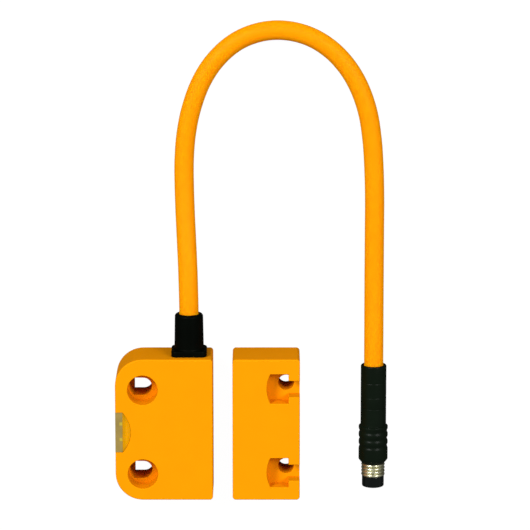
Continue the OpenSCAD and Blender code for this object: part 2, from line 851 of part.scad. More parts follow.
magnet(0);  // magnet_middle
magnet(-1);  // magnet_lower
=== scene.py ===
"""Looks of the magnetic safety switch: the sensor with its cable and plug, and the actuator.

Blender works in metres. The sizes and shapes below are in millimetres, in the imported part's own
frame, and each mesh is scaled as it is made. +Z is the front of both housings, +Y runs
towards the cable gland and +X from the sensor to the actuator.
"""

import math

import bmesh
import bpy
from mathutils import Matrix, Vector


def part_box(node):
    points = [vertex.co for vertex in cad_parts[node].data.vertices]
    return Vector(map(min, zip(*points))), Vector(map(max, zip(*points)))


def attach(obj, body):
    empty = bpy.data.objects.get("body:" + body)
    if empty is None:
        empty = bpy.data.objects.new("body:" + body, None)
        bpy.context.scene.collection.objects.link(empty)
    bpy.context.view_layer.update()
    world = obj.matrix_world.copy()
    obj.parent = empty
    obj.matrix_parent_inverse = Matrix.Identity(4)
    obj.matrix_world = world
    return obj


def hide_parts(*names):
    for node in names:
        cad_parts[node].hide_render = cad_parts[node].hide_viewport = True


MM = 0.001
BODY = "root"

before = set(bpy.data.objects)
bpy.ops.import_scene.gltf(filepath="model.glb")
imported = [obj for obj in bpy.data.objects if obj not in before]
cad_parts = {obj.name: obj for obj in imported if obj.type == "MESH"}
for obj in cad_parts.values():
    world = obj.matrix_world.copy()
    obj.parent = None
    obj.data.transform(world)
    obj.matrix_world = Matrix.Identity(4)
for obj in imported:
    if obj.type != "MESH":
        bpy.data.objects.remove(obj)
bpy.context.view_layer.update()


def node_box(name):
    """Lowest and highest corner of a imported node, in millimetres."""
    low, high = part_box(name)
    return Vector(low) / MM, Vector(high) / MM


# Camera: it looks down on the fronts, leaning a little from the gland's side
FRAME_PX = 530
FOCAL_PX = 3490
CAMERA_SENSOR = 36
CAMERA_TILT = math.radians(12.6)
CAMERA_AIM = Vector((25.06, 39.1, 0))
CAMERA_REACH = 870


def make_camera():
    """The photo's camera."""
    data = bpy.data.cameras.new("camera")
    data.sensor_width = CAMERA_SENSOR
    data.lens = FOCAL_PX / FRAME_PX * CAMERA_SENSOR
    data.clip_start = 0.05
    data.clip_end = 20
    camera = bpy.data.objects.new("camera", data)
    bpy.context.scene.collection.objects.link(camera)
    back = Vector((0, math.sin(CAMERA_TILT), math.cos(CAMERA_TILT)))
    camera.location = (CAMERA_AIM + CAMERA_REACH * back) * MM
    camera.rotation_euler = (-CAMERA_TILT, 0, 0)
    bpy.context.scene.camera = camera


make_camera()

# Cable: the same route as in the part's source, and the place where it leaves the gland
CABLE_D = 4.8
CABLE_EXIT = (6.2, 28.4, 6.9)
CABLE_ROUTE = [
    (6.2, 14.8, 6.9), (6.2, 21.5, 6.9), (6.2, 28.5, 6.9), (6.1, 34, 6.6),
    (5.9, 40.5, 5.8), (5.6, 47, 4.7), (5.3, 53.5, 3.6), (5.1, 60, 2.8),
    (5.1, 66, 2.4), (5.6, 72.5, 2.4), (6.9, 79, 2.4), (9.4, 85.8, 2.4),
    (13, 91.3, 2.4), (18, 95.7, 2.4), (23.9, 98.1, 2.4), (30, 98.5, 2.4),
    (36, 97, 2.4), (41.2, 93.8, 2.4), (45.3, 89.4, 2.4), (48.3, 84.2, 2.4),
    (50.4, 78, 2.4), (51.5, 71, 2.4), (52, 63.6, 2.4), (52.2, 56, 2.4),
    (52.2, 48.5, 2.4), (52.2, 41, 2.4), (52.2, 34, 2.5), (52.2, 27.5, 2.9),
    (52.2, 21, 3.4), (52.2, 14.5, 3.65), (52.2, 6.5, 3.65),
]


def route_length(route):
    """Length of the straight steps along a route."""
    steps = zip(route, route[1:])
    return sum((Vector(after) - Vector(before)).length for before, after in steps)


def make_cable():
    """The cable as one smooth curve through its route."""
    curve = bpy.data.curves.new("cable_sheath", "CURVE")
    curve.dimensions = "3D"
    curve.bevel_depth = CABLE_D / 2 * MM
    curve.bevel_resolution = 10
    curve.resolution_u = 8
    curve.use_fill_caps = True
    spline = curve.splines.new("BEZIER")
    last = len(CABLE_ROUTE) - 1
    spline.bezier_points.add(last)
    for i, place in enumerate(CABLE_ROUTE):
        before = Vector(CABLE_ROUTE[max(i - 1, 0)])
        after = Vector(CABLE_ROUTE[min(i + 1, last)])
        here = Vector(place)
        way = (after - before).normalized()
        point = spline.bezier_points[i]
        point.co = here * MM
        point.handle_left_type = "FREE"
        point.handle_right_type = "FREE"
        point.handle_left = (here - way * (here - before).length / 3) * MM
        point.handle_right = (here + way * (after - here).length / 3) * MM
    piece = bpy.data.objects.new("cable_sheath", curve)
    bpy.context.scene.collection.objects.link(piece)
    return piece


cable = make_cable()

# Outlines
ORIGIN = Vector((0, 0, 0))


def arc(centre, start, end, steps):
    """Points on the shorter arc about a centre, from start to end."""
    first = start - centre
    last = end - centre
    angle = math.atan2(first.y, first.x)
    turn = math.atan2(last.y, last.x) - angle
    turn = (turn + math.pi) % (2 * math.pi) - math.pi
    angles = [angle + turn * s / steps for s in range(steps + 1)]
    return [centre + first.length * Vector((math.cos(a), math.sin(a))) for a in angles]


def circle(radius, steps=72):
    """Points on a circle about the origin."""
    angles = [2 * math.pi * k / steps for k in range(steps)]
    return [Vector((radius * math.cos(a), radius * math.sin(a))) for a in angles]


def rectangle(left, low, right, high):
    """The corners of a rectangle."""
    return [Vector((left, low)), Vector((right, low)), Vector((right, high)), Vector((left, high))]


def rounded(corners, steps=6, closed=True):
    """Points along a line of corners (x, y, radius), each corner with a radius turned by an arc."""
    points = []
    count = len(corners)
    for i, (x, y, radius) in enumerate(corners):
        corner = Vector((x, y))
        is_end = not closed and i in (0, count - 1)
        if radius <= 0 or is_end:
            points.append(corner)
            continue
        before = (Vector(corners[i - 1][:2]) - corner).normalized()
        after = (Vector(corners[(i + 1) % count][:2]) - corner).normalized()
        half = before.angle(after) / 2
        reach = radius / math.tan(half)
        centre = corner + (before + after).normalized() * (radius / math.sin(half))
        points += arc(centre, corner + before * reach, corner + after * reach, steps)
    return points


def quarter_turn(steps):
    """How far a rim has drawn in, and how far below its top it is, as shares of its radius."""
    angles = [math.pi / 2 * s / steps for s in range(steps + 1)]
    return [(1 - math.cos(a), 1 - math.sin(a)) for a in angles]


def rim_rings(outline_at, z, radius, direction, steps=4):
    """Rings of a rounded rim that ends at height z, with outlines drawn in as the rim turns."""
    return [
        (outline_at(radius * inward), z - direction * radius * below)
        for inward, below in quarter_turn(steps)
    ]


# Meshes
ON_AXIS = 1e-6
WELD = 0.002


def new_piece(name, points, faces):
    """A mesh object from points in millimetres."""
    mesh = bpy.data.meshes.new(name)
    mesh.from_pydata([Vector(p) * MM for p in points], [], faces)
    mesh.validate()
    piece = bpy.data.objects.new(name, mesh)
    bpy.context.scene.collection.objects.link(piece)
    return piece


def loft(name, rings, turn=Matrix.Identity(3), shift=ORIGIN):
    """A closed mesh with flat ends through rings (outline, height), each with as many points."""
    points = []
    for outline, height in rings:
        points += [turn @ Vector((p[0], p[1], height)) + shift for p in outline]
    n = len(rings[0][0])
    faces = [tuple(reversed(range(n))), tuple(range(len(points) - n, len(points)))]
    for i in range(len(rings) - 1):
        for k in range(n):
            a = i * n + k
            b = i * n + (k + 1) % n
            faces.append((a, b, b + n, a + n))
    return new_piece(name, points, faces)


def prism(name, outline, floor, top, shift=ORIGIN):
    """A block with the same outline from its floor to its top."""
    return loft(name, [(outline, floor), (outline, top)], shift=shift)


def box(name, low, high):
    """A box between two corners."""
    return prism(name, rectangle(low[0], low[1], high[0], high[1]), low[2], high[2])


def revolve(name, profile, turn, shift, steps=96, closed=False):
    """A turned mesh: profile is points (radius, height) from the foot up on the outside."""
    points = []
    rows = []
    for radius, height in profile:
        if radius < ON_AXIS:
            rows.append([len(points)] * steps)
            points.append(turn @ Vector((0, 0, height)) + shift)
            continue
        rows.append(range(len(points), len(points) + steps))
        points += [turn @ Vector((p.x, p.y, height)) + shift for p in circle(radius, steps)]
    faces = []
    pairs = list(zip(rows, rows[1:]))
    if closed:
        pairs.append((rows[-1], rows[0]))
    for low, high in pairs:
        for k in range(steps):
            q = (k + 1) % steps
            corners = [low[k], low[q], high[q], high[k]]
            face = tuple(c for i, c in enumerate(corners) if c not in corners[:i])
            if len(face) > 2:
                faces.append(face)
    return new_piece(name, points, faces)


def cylinder(name, radius, floor, top, turn, shift, steps=96):
    """A turned block with flat ends."""
    profile = [(0, floor), (radius, floor), (radius, top), (0, top)]
    return revolve(name, profile, turn, shift, steps)


def combine(piece, other, operation="DIFFERENCE"):
    """Cuts the other mesh from the piece, or joins it on, and deletes the other."""
    step = piece.modifiers.new("combine", "BOOLEAN")
    step.operation = operation
    step.solver = "EXACT"
    step.object = other
    graph = bpy.context.evaluated_depsgraph_get()
    result = bpy.data.meshes.new_from_object(piece.evaluated_get(graph))
    piece.modifiers.clear()
    old = piece.data
    piece.data = result
    bpy.data.meshes.remove(old)
    other_mesh = other.data
    bpy.data.objects.remove(other)
    bpy.data.meshes.remove(other_mesh)


def tidy(piece, angle=32):
    """Welds doubled points, shades the piece smooth up to an angle and keeps its flat faces flat."""
    work = bmesh.new()
    work.from_mesh(piece.data)
    bmesh.ops.remove_doubles(work, verts=work.verts, dist=WELD * MM)
    bmesh.ops.recalc_face_normals(work, faces=work.faces)
    work.to_mesh(piece.data)
    work.free()
    for face in piece.data.polygons:
        face.use_smooth = True
    piece.data.set_sharp_from_angle(angle=math.radians(angle))
    step = piece.modifiers.new("flat faces", "WEIGHTED_NORMAL")
    step.mode = "FACE_AREA"
    step.weight = 100
    step.keep_sharp = True


# Materials: their patterns lie in the piece's own space, and their sizes are in millimetres

def shader_of(material):
    """A material's shader node."""
    return material.node_tree.nodes["Principled BSDF"]


def new_material(name):
    """A new material, its node tree and its shader."""
    material = bpy.data.materials.new(name)
    material.use_nodes = True
    return material, material.node_tree, shader_of(material)


def noise(tree, size, detail):
    """Noise with patches of about a size."""
    place = tree.nodes.new("ShaderNodeTexCoord")
    pattern = tree.nodes.new("ShaderNodeTexNoise")
    pattern.inputs["Scale"].default_value = 1 / (size * MM)
    pattern.inputs["Detail"].default_value = detail
    tree.links.new(place.outputs["Object"], pattern.inputs["Vector"])
    return pattern


def drift_colour(tree, shader, pattern, shade, colour, spread):
    """Lets the base colour drift from a shade to the colour, over a spread about the pattern's middle."""
    ramp = tree.nodes.new("ShaderNodeValToRGB")
    ramp.color_ramp.elements[0].position = 0.5 - spread
    ramp.color_ramp.elements[1].position = 0.5 + spread
    ramp.color_ramp.elements[0].color = (*shade, 1)
    ramp.color_ramp.elements[1].color = (*colour, 1)
    tree.links.new(pattern.outputs["Fac"], ramp.inputs["Fac"])
    tree.links.new(ramp.outputs["Color"], shader.inputs["Base Color"])


def drift_roughness(tree, shader, pattern, low, high):
    """Lets the roughness drift between two values with the pattern."""
    gloss = tree.nodes.new("ShaderNodeMapRange")
    gloss.inputs["To Min"].default_value = low
    gloss.inputs["To Max"].default_value = high
    tree.links.new(pattern.outputs["Fac"], gloss.inputs["Value"])
    tree.links.new(gloss.outputs["Result"], shader.inputs["Roughness"])


def plastic(name, colour, shade, roughness, grain, depth, patch=6, specular=0.5):
    """Moulded plastic: a colour that drifts to a shade in soft patches, and a fine grain of a depth."""
    material, tree, shader = new_material(name)
    drift_colour(tree, shader, noise(tree, patch, 3), shade, colour, 0.2)
    fine = noise(tree, grain, 4)
    drift_roughness(tree, shader, fine, roughness - 0.06, roughness + 0.06)
    bump = tree.nodes.new("ShaderNodeBump")
    bump.inputs["Strength"].default_value = 1
    bump.inputs["Distance"].default_value = depth * MM
    tree.links.new(fine.outputs["Fac"], bump.inputs["Height"])
    tree.links.new(bump.outputs["Normal"], shader.inputs["Normal"])
    shader.inputs["Specular IOR Level"].default_value = specular
    return material


def metal(name, colour, shade, roughness, streak):
    """Bare metal with small changes of tone and gloss."""
    material, tree, shader = new_material(name)
    streaks = noise(tree, streak, 5)
    drift_colour(tree, shader, streaks, shade, colour, 0.15)
    drift_roughness(tree, shader, streaks, roughness - 0.05, roughness + 0.08)
    shader.inputs["Metallic"].default_value = 1
    return material


def clear(name, colour, shade, alpha, roughness, specular=0.5):
    """Clear or smoky moulded plastic, seen through by its alpha."""
    material = plastic(name, colour, shade, roughness, grain=0.4, depth=0.002, patch=2, specular=specular)
    shader_of(material).inputs["Alpha"].default_value = alpha
    return material


def let_light_in(material, weight, radius, depth):
    """Scatters light under a material's surface, over a depth for each of red, green and blue."""
    shader = shader_of(material)
    shader.inputs["Subsurface Weight"].default_value = weight
    shader.inputs["Subsurface Radius"].default_value = radius
    shader.inputs["Subsurface Scale"].default_value = depth * MM


yellow = plastic(
    "housing_yellow", (0.80, 0.275, 0.0), (0.785, 0.265, 0.0), 0.6, grain=0.12, depth=0.004, specular=0.03)
sheath = plastic(
    "cable_yellow", (0.92, 0.302, 0.0), (0.905, 0.294, 0.0), 0.5, grain=0.25, depth=0.002, specular=0.04)
let_light_in(sheath, 0.7, (1, 0.7, 0.3), 2.5)
rubber = plastic(
    "black_rubber", (0.0012, 0.002, 0.0012), (0.0006, 0.001, 0.0006), 0.42,
    grain=0.15, depth=0.006, specular=0.02)
plug_rubber = plastic(
    "plug_rubber", (0.003, 0.0065, 0.003), (0.002, 0.0045, 0.002), 0.35,
    grain=0.15, depth=0.006, specular=0.07)
insert_black = plastic(
    "insert_black", (0.002, 0.004, 0.003), (0.001, 0.002, 0.002), 0.22,
    grain=0.2, depth=0.001, specular=0.2)
resin_black = plastic(
    "resin_black", (0.012, 0.012, 0.014), (0.006, 0.006, 0.007), 0.3, grain=1.2, depth=0.03)
board_green = plastic(
    "board_green", (0.012, 0.15, 0.05), (0.008, 0.10, 0.035), 0.35, grain=0.3, depth=0.01)
chip_black = plastic(
    "chip_black", (0.015, 0.015, 0.015), (0.03, 0.03, 0.03), 0.4, grain=0.2, depth=0.004)
carrier_grey = plastic(
    "carrier_grey", (0.05, 0.05, 0.05), (0.03, 0.03, 0.03), 0.5, grain=0.3, depth=0.008)
smoke = clear("window_smoke", (0.31, 0.215, 0.06), (0.26, 0.185, 0.05), 0.97, 0.2, specular=0.2)
window_clear = clear("window_clear", (0.93, 0.46, 0.0), (0.9, 0.44, 0.0), 0.4, 0.15, specular=0.2)
lens_yellow = clear("lens_yellow", (0.44, 0.335, 0.045), (0.4, 0.31, 0.04), 0.97, 0.2, specular=0.2)
lamp_clear = clear("lamp_clear", (0.9, 0.65, 0.1), (0.8, 0.5, 0.05), 0.9, 0.15)
glass = clear("reed_glass", (0.75, 0.9, 0.85), (0.7, 0.85, 0.8), 0.3, 0.05)
magnet_grey = metal("magnet_grey", (0.22, 0.22, 0.23), (0.12, 0.12, 0.13), 0.4, 0.5)
ring_metal = metal("ring_metal", (0.7, 0.69, 0.5), (0.58, 0.55, 0.36), 0.28, 1.5)
blade_metal = metal("blade_metal", (0.66, 0.63, 0.58), (0.5, 0.48, 0.44), 0.25, 0.3)
contact_gold = metal("contact_gold", (0.95, 0.70, 0.28), (0.85, 0.6, 0.2), 0.2, 0.3)
wire_colours = {
    "brown": ((0.12, 0.04, 0.015), (0.09, 0.03, 0.01)),
    "white": ((0.8, 0.8, 0.78), (0.7, 0.7, 0.68)),
    "blue": ((0.02, 0.08, 0.5), (0.015, 0.06, 0.4)),
    "black": ((0.01, 0.01, 0.01), (0.02, 0.02, 0.02)),
}


def dress(piece, material, slot, *replaced):
    """Gives a piece its material and its body, and hides the imported nodes that it stands for; the slot is
    not used.
    """
    piece.data.materials.clear()
    piece.data.materials.append(material)
    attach(piece, BODY)
    if replaced:
        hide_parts(*replaced)


def repaint(material, *names):
    """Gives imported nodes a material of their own."""
    for name in names:
        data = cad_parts[name].data
        data.materials.clear()
        data.materials.append(material)


# Housings: the same sizes as in the part's source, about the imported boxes
SENSOR_LOW, SENSOR_HIGH = node_box("sensor_housing")
ACTUATOR_LOW, ACTUATOR_HIGH = node_box("actuator_housing")
FRONT = SENSOR_HIGH.z
HALF_H = SENSOR_HIGH.y
BIG_CORNER_R = 6.8
SMALL_CORNER_R = 0.8
LEAST_CORNER_R = 0.05
SIDE_WALL = 1.2
FRONT_WALL = 1.5
SHOULDER_W = 0.6
SHOULDER_Z = 3.4
COLUMN_WALL = 1.0
RIM_H = 0.35
RIM_W = 0.3
TOP_RIM_W = 0.45
BACK_RIM_R = 0.2
HOLE_RIM_R = 0.22
SLOT_RIM_R = 0.12
HOLE_SPACING = 21.5

# How far a cutter goes past a face, and a lift that keeps two faces out of one plane
PAST = 1.0
LIFT = 0.004

# Sensor: counterbored slots
HOLE_DROP = 0.6
SENSOR_HOLE_INSET = 6.8
SENSOR_HOLE_X = SENSOR_LOW.x + SENSOR_HOLE_INSET
SCREW_R = 2.2
HEAD_R = 3.75
HEAD_DEPTH = 5.4
SLOT_DROP = 0.3
SLOT_REACH = 2.3
SLOT_WEB = 1.2
SLOT_LEDGE = 0.3

# Sensor: window
WINDOW_Y = -HOLE_DROP
WINDOW_HALF_H = 5.05
WINDOW_STRIP_W = SIDE_WALL + SHOULDER_W
WINDOW_STRIP_D = 3.0
WINDOW_STRIP_X = SENSOR_LOW.x + WINDOW_STRIP_W
WINDOW_BULGE = 2.0
WINDOW_T = 1.0
WINDOW_EDGE = 0.06
WINDOW_GAP = 0.07
STRIP_INSET = 0.01
STRIP_SINK = 0.02
GUIDE_SPACING = 4
LENS_RISE = 0.2
LENS_W = 0.75
LENS_H = 0.8
LENS_D = 1.2
LENS_SINK = 0.01

# Actuator: screw pockets with a channel to the right side and a round hole
POCKET_DROP = 0.25
POCKET_HALF_H = 3.75
POCKET_DEPTH = 4.3
POCKET_WALL = 2.8
POCKET_ARC_R = 8.2
CHANNEL_HALF_H = 2.05
ACTUATOR_HOLE_R = 1.95
ACTUATOR_HOLE_INSET = 3.4
ACTUATOR_HOLE_X = ACTUATOR_HIGH.x - ACTUATOR_HOLE_INSET
ACTUATOR_HOLE_RISE = 0.65

# Gland: it stands along +Y on the sensor's top side
GLAND_TURN = Matrix.Rotation(-math.pi / 2, 3, "X")
GLAND_SHIFT = Vector((CABLE_EXIT[0], HALF_H, CABLE_EXIT[2]))
GLAND_FOOT = node_box("cable_gland")[0].y - HALF_H
FLANGE_HALF_W = 4.4
FLANGE_HALF_D = 3.9
FLANGE_T = 1.5
FLANGE_CORNER_R = 1.3
FLANGE_RIM_R = 0.35
SLEEVE_BASE_R = 3.65
SLEEVE_TIP_R = 3.5
SLEEVE_L = 8.9
SLEEVE_RIM_R = 0.7
SLEEVE_FLARE_W = 0.25
SLEEVE_FLARE_H = 0.35
SLEEVE_FLARE_R = 0.3
GLAND_TIP = FLANGE_T + SLEEVE_L
NECK_R = 3.0
NECK_END = -(SIDE_WALL + SHOULDER_W)
NECK_EDGE_R = 0.02
NECK_GAP = 0.05
NECK_HOLE_R = NECK_R + NECK_GAP
NECK_HOLE_REACH = 3
BEAD_R = 3.4
BEAD_EDGE_R = 0.1
CABLE_GAP = 0.05
CABLE_BORE_R = CABLE_D / 2 + CABLE_GAP
MOUTH_W = 0.12
MOUTH_H = 0.3
MOUTH_R = 0.08
BORE_END = GLAND_TIP - 0.5


def housing_outline(low, high, left_r, inset, top_inset):
    """Outline of a housing, drawn in by an inset, and by another one at its top."""
    left = low.x + inset
    right = high.x - inset
    bottom = -HALF_H + inset
    top = HALF_H - top_inset
    big = max(left_r - inset, LEAST_CORNER_R)
    small = max(SMALL_CORNER_R - inset, LEAST_CORNER_R)
    corners = [(left, bottom, big), (right, bottom, small), (right, top, small), (left, top, big)]
    return rounded(corners, steps=16)


def housing_block(name, low, high, left_r):
    """A housing's outer shape: a rounded front rim that is wider at the top, and a small back rim."""
    def back_at(inset):
        return housing_outline(low, high, left_r, inset, inset)

    rings = list(reversed(rim_rings(back_at, low.z, BACK_RIM_R, -1)))
    for inward, below in quarter_turn(8):
        outline = housing_outline(low, high, left_r, RIM_W * inward, TOP_RIM_W * inward)
        rings.append((outline, high.z - RIM_H * below))
    return loft(name, rings)


def flared_cutter(outline_at, floor, top, rim_r, shift):
    """A cutter with straight walls from a floor to the rounded rim where it meets a face above."""
    rings = [(outline_at(0), floor)]
    rings += rim_rings(outline_at, top + LIFT, rim_r, 1)
    rings.append((outline_at(rim_r), top + PAST))
    return loft("cutter", rings, shift=shift)


def round_cutter(radius, floor, top, rim_r, shift):
    """A round cutter with a rounded rim."""
    return flared_cutter(lambda grow: circle(radius + grow), floor, top, rim_r, shift)


def hole_places(x, drop):
    """Places of a housing's two holes, a drop below its middle."""
    return [Vector((x, side * HOLE_SPACING / 2 - drop, 0)) for side in (1, -1)]


def cut_rooms(block, rooms_at):
    """Cuts the hollow at the back: wide up to the shoulder, then narrower up to the front wall."""
    for corners in rooms_at(0):
        combine(block, prism("cutter", rectangle(*corners), -PAST, SHOULDER_Z))
    for corners in rooms_at(SHOULDER_W):
        combine(block, prism("cutter", rectangle(*corners), 0, FRONT - FRONT_WALL))


def slot_outline(grow):
    """A slot, square at the left and round at the right, grown by an amount."""
    half = SCREW_R + grow
    middle = Vector((0, -SLOT_DROP))
    low = middle - Vector((0, half))
    high = middle + Vector((0, half))
    right = middle + Vector((half, 0))
    left = Vector((-SLOT_REACH - grow, 0))
    end = arc(middle, low, right, steps=10) + arc(middle, right, high, steps=10)[1:]
    return [low + left] + end + [high + left]


def closed_slot_outline():
    """The part of a slot that its web closes, round at the left just inside the counterbore."""
    radius = HEAD_R - SLOT_LEDGE
    high = SCREW_R - SLOT_DROP
    low = -SCREW_R - SLOT_DROP
    start = Vector((-math.sqrt(radius ** 2 - high ** 2), high))
    end = Vector((-math.sqrt(radius ** 2 - low ** 2), low))
    return arc(Vector((0, 0)), start, end, steps=16) + [Vector((0, low)), Vector((0, high))]


def sensor_rooms(inset):
    """Rectangles of the sensor's hollow (left, low, right, high), drawn in by an inset."""
    bay = SENSOR_HOLE_X + HEAD_R + COLUMN_WALL + inset
    between = HOLE_SPACING / 2 - HEAD_R - COLUMN_WALL - inset
    left = SENSOR_LOW.x + SIDE_WALL + inset
    right = SENSOR_HIGH.x - SIDE_WALL - inset
    top = HALF_H - SIDE_WALL - inset
    return [(bay, -top, right, top), (left, WINDOW_Y - between, bay + PAST, WINDOW_Y + between)]


def window_outline(left, grow):
    """The window from above: a strip on the edge and a part with a rounded right side."""
    half = WINDOW_HALF_H + grow
    radius = (WINDOW_HALF_H ** 2 + WINDOW_BULGE ** 2) / (2 * WINDOW_BULGE)
    centre = Vector((WINDOW_STRIP_X + WINDOW_BULGE - radius, WINDOW_Y))
    right = centre.x + math.sqrt((radius + grow) ** 2 - half ** 2)
    low = WINDOW_Y - half
    high = WINDOW_Y + half
    bulge = arc(centre, Vector((right, low)), Vector((right, high)), steps=28)
    return [Vector((left, low))] + bulge + [Vector((left, high))]


def make_sensor_housing():
    """The sensor's shell with its counterbored slots, its hollow, the window's seat and the neck's hole."""
    block = housing_block("sensor_shell", SENSOR_LOW, SENSOR_HIGH, BIG_CORNER_R)
    head_floor = FRONT - HEAD_DEPTH
    for place in hole_places(SENSOR_HOLE_X, HOLE_DROP):
        combine(block, round_cutter(HEAD_R, head_floor, FRONT, HOLE_RIM_R, place))
        combine(block, flared_cutter(slot_outline, -PAST, head_floor, SLOT_RIM_R, place))
        combine(block, prism("cutter", closed_slot_outline(), SLOT_WEB, head_floor + PAST / 2, place))
    cut_rooms(block, sensor_rooms)
    far_left = SENSOR_LOW.x - PAST
    half = WINDOW_HALF_H + WINDOW_GAP
    plate_seat = window_outline(far_left, WINDOW_GAP)
    strip_seat = rectangle(far_left, WINDOW_Y - half, WINDOW_STRIP_X, WINDOW_Y + half)
    combine(block, prism("cutter", plate_seat, FRONT - WINDOW_T, FRONT + PAST))
    combine(block, prism("cutter", strip_seat, FRONT - WINDOW_STRIP_D, FRONT + PAST))
    combine(block, cylinder(
        "cutter", NECK_HOLE_R, -NECK_HOLE_REACH, NECK_HOLE_REACH, GLAND_TURN, GLAND_SHIFT, steps=48))
    tidy(block)
    dress(block, yellow, "housing", "sensor_housing")


def make_window():
    """The window's clear plate over the front, its smoky strip on the edge and two small lenses."""
    outline = window_outline(WINDOW_STRIP_X, 0)
    plate = loft("window_plate", [
        (outline, FRONT - WINDOW_T + LIFT),
        (outline, FRONT - WINDOW_EDGE),
        (window_outline(WINDOW_STRIP_X, -WINDOW_EDGE), FRONT),
    ])
    tidy(plate)
    dress(plate, window_clear, "window", "status_window")
    strip = box(
        "window_strip",
        (SENSOR_LOW.x + STRIP_INSET, WINDOW_Y - WINDOW_HALF_H, FRONT - WINDOW_STRIP_D + LIFT),
        (WINDOW_STRIP_X, WINDOW_Y + WINDOW_HALF_H, FRONT - STRIP_SINK))
    for side, name in ((-1, "window_lens_lower"), (1, "window_lens_upper")):
        middle = WINDOW_Y + side * GUIDE_SPACING / 2 + LENS_RISE
        low = Vector((WINDOW_STRIP_X - LENS_W, middle - LENS_H / 2, FRONT - LENS_D))
        high = Vector((WINDOW_STRIP_X, middle + LENS_H / 2, FRONT - LENS_SINK))
        combine(strip, box("cutter", low, high + Vector((PAST, 0, PAST))))
        lens = box(name, low, high)
        tidy(lens)
        dress(lens, lens_yellow, "window")
    tidy(strip)
    dress(strip, smoke, "window")


def pocket_outline(grow):
    """A screw pocket from above, about its middle height: an arc at the left, square at the right."""
    half = POCKET_HALF_H + grow
    centre = Vector((ACTUATOR_HIGH.x, 0))
    left = centre.x - math.sqrt((POCKET_ARC_R + grow) ** 2 - half ** 2)
    right = ACTUATOR_HIGH.x - POCKET_WALL + grow
    left_arc = arc(centre, Vector((left, half)), Vector((left, -half)), steps=24)
    return [Vector((right, -half)), Vector((right, half))] + left_arc


def channel_outline(grow):
    """A channel from a pocket to the actuator's right side, about its middle height."""
    half = CHANNEL_HALF_H + grow
    return rectangle(ACTUATOR_HIGH.x - POCKET_WALL - PAST, -half, ACTUATOR_HIGH.x + PAST, half)


def actuator_rooms(inset):
    """Rectangles of the actuator's hollow (left, low, right, high), drawn in by an inset."""
    bay = ACTUATOR_HIGH.x - POCKET_ARC_R - COLUMN_WALL - inset
    between = HOLE_SPACING / 2 - POCKET_HALF_H - COLUMN_WALL - inset
    left = ACTUATOR_LOW.x + SIDE_WALL + inset
    right = ACTUATOR_HIGH.x - SIDE_WALL - inset
    top = HALF_H - SIDE_WALL - inset
    return [(left, -top, bay, top), (bay - PAST, -POCKET_DROP - between, right, -POCKET_DROP + between)]


def make_actuator_housing():
    """The actuator's shell with its screw pockets, channels and round holes, and its hollow."""
    block = housing_block("actuator_shell", ACTUATOR_LOW, ACTUATOR_HIGH, SMALL_CORNER_R)
    floor = FRONT - POCKET_DEPTH
    for place in hole_places(0, POCKET_DROP):
        combine(block, flared_cutter(pocket_outline, floor, FRONT, HOLE_RIM_R, place))
        combine(block, flared_cutter(channel_outline, floor, FRONT, HOLE_RIM_R, place))
        hole_place = place + Vector((ACTUATOR_HOLE_X, ACTUATOR_HOLE_RISE, 0))
        combine(block, round_cutter(ACTUATOR_HOLE_R, -PAST, floor, SLOT_RIM_R, hole_place))
    cut_rooms(block, actuator_rooms)
    tidy(block)
    dress(block, yellow, "housing", "actuator_housing")


def flange_outline(inset):
    """The gland's square flange, drawn in by an inset."""
    w = FLANGE_HALF_W - inset
    d = FLANGE_HALF_D - inset
    r = FLANGE_CORNER_R - inset
    return rounded([(-w, -d, r), (w, -d, r), (w, d, r), (-w, d, r)], steps=8)


def make_gland():
    """The gland: its flange, its sleeve with the neck and bead inside the housing, and its bore."""
    rings = [(flange_outline(0), 0)] + rim_rings(flange_outline, FLANGE_T, FLANGE_RIM_R, 1)
    gland = loft("gland_cover", rings, GLAND_TURN, GLAND_SHIFT)
    profile = rounded([
        (CABLE_BORE_R, GLAND_FOOT, 0),
        (BEAD_R, GLAND_FOOT, BEAD_EDGE_R),
        (BEAD_R, NECK_END, BEAD_EDGE_R),
        (NECK_R, NECK_END, NECK_EDGE_R),
        (NECK_R, FLANGE_T / 2, 0),
        (SLEEVE_BASE_R + SLEEVE_FLARE_W, FLANGE_T / 2, 0),
        (SLEEVE_BASE_R, FLANGE_T + SLEEVE_FLARE_H, SLEEVE_FLARE_R),
        (SLEEVE_TIP_R, GLAND_TIP, SLEEVE_RIM_R),
        (CABLE_BORE_R + MOUTH_W, GLAND_TIP, MOUTH_R),
        (CABLE_BORE_R, GLAND_TIP - MOUTH_H, 0),
    ], closed=False)
    combine(gland, revolve("sleeve", profile, GLAND_TURN, GLAND_SHIFT, closed=True), "UNION")
    combine(gland, cylinder(
        "cutter", CABLE_BORE_R, GLAND_FOOT - PAST, BORE_END, GLAND_TURN, GLAND_SHIFT))
    tidy(gland)
    dress(gland, rubber, "black_rubber", "cable_gland")
    return gland


# Plug: it lies along -Y, and its lengths run from its sleeve's back end
PLUG_LOW, PLUG_HIGH = node_box("plug_body")
PLUG_TURN = Matrix.Rotation(math.pi / 2, 3, "X")
PLUG_SHIFT = Vector(((PLUG_LOW.x + PLUG_HIGH.x) / 2, PLUG_HIGH.y, (PLUG_LOW.z + PLUG_HIGH.z) / 2))
CABLE_DEPTH = 8.0
PLUG_SLEEVE_R = 3.2
PLUG_SLEEVE_L = 15.5
PLUG_MOUTH_W = 0.3
PLUG_MOUTH_H = 0.5
PLUG_MOUTH_R = 0.15
PLUG_BACK_R = 0.4
PLUG_BACK_L = 2
FINE_GROOVES = [(4.4, 0.06), (8.1, 0.04), (11.0, 0.12)]
FINE_GROOVE_W = 0.35
GRIP_R = 3.65
GRIP_L = 9.8
GRIP_END = PLUG_SLEEVE_L + GRIP_L
GRIP_STEP_H = 0.2
GRIP_STEP_R = 0.2
GRIP_FOOT_R = 0.1
